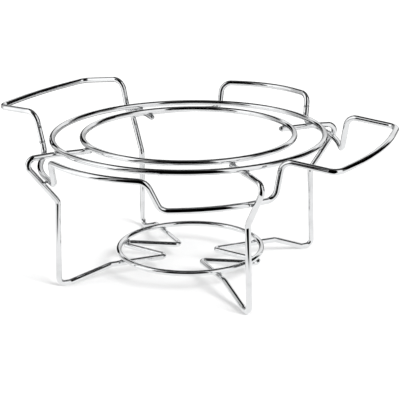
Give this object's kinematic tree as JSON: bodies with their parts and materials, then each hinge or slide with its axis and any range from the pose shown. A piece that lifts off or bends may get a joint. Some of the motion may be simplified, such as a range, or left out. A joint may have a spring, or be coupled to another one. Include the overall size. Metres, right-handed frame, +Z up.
{
  "type": "plate stand with burner ring",
  "caption": "Low chromed wire stand: two flat rings carry a round dish over a small burner ring, on four bent wire legs, inside a wire fence that forms the handles.",
  "frame": {"origin": "on the table, under the middle of the whole stand's outline", "axes": "+Z up; +X towards the right handle, along the stand's greatest length; +Y towards the back"},
  "size_m": [0.2866, 0.2338, 0.1186],
  "materials": {
    "chromed_wire": "polished chrome plate on round steel wire",
    "plated_weld": "resistance weld metal, plated over, slightly dull"
  },
  "bodies": {
    "root": {"outer_ring": "chromed_wire", "inner_ring": "chromed_wire", "burner_ring": "chromed_wire", "right_leg_wire": "chromed_wire", "left_leg_wire": "chromed_wire", "back_fence_wire": "chromed_wire", "front_fence_wire": "chromed_wire", "weld_outer_ring_front_right": "plated_weld", "weld_inner_ring_front_right": "plated_weld", "weld_burner_ring_front_right": "plated_weld", "weld_fence_front_right": "plated_weld", "weld_outer_ring_back_right": "plated_weld", "weld_inner_ring_back_right": "plated_weld", "weld_burner_ring_back_right": "plated_weld", "weld_fence_back_right": "plated_weld", "weld_outer_ring_back_left": "plated_weld", "weld_inner_ring_back_left": "plated_weld", "weld_burner_ring_back_left": "plated_weld", "weld_fence_back_left": "plated_weld", "weld_outer_ring_front_left": "plated_weld", "weld_inner_ring_front_left": "plated_weld", "weld_burner_ring_front_left": "plated_weld", "weld_fence_front_left": "plated_weld", "weld_burner_ring_right": "plated_weld", "weld_burner_ring_left": "plated_weld"}
  },
  "joints": []
}
